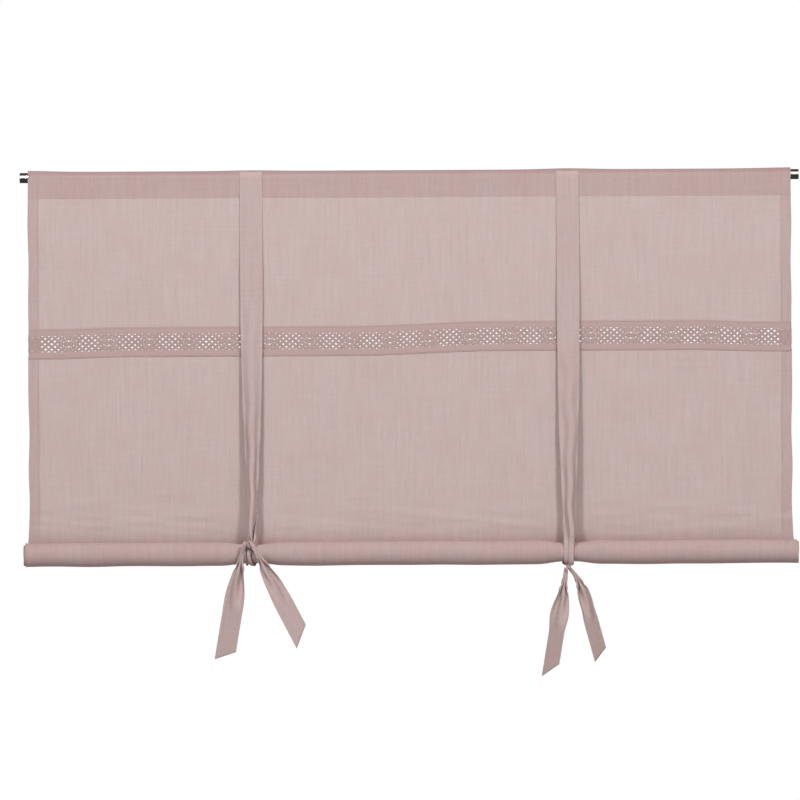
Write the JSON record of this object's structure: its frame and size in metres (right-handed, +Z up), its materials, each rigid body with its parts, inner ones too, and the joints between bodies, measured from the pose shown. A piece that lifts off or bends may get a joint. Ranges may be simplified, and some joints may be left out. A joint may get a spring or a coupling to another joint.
{
  "type": "tie-up curtain",
  "caption": "Cloth curtain with a lace insertion, hung on a metal rod by its heading, its lower part rolled up to the front and held by tie bands knotted under the roll.",
  "frame": {"origin": "on the rod's axis, half way along it", "axes": "+X along the rod, -Y towards the room (the side that the roll is on), +Z up"},
  "size_m": [1.226, 0.0713, 0.7992],
  "materials": {
    "rod": "polished",
    "cloth": "matt slub weave",
    "lace": "matt cotton lace",
    "bands": "matt slub weave"
  },
  "bodies": {
    "root": {"rod": "rod", "upper_panel": "cloth", "lace_band": "lace", "lower_panel": "cloth", "front_tie_left": "bands", "front_tie_right": "bands", "back_tie_left": "bands", "back_tie_right": "bands"}
  },
  "joints": []
}
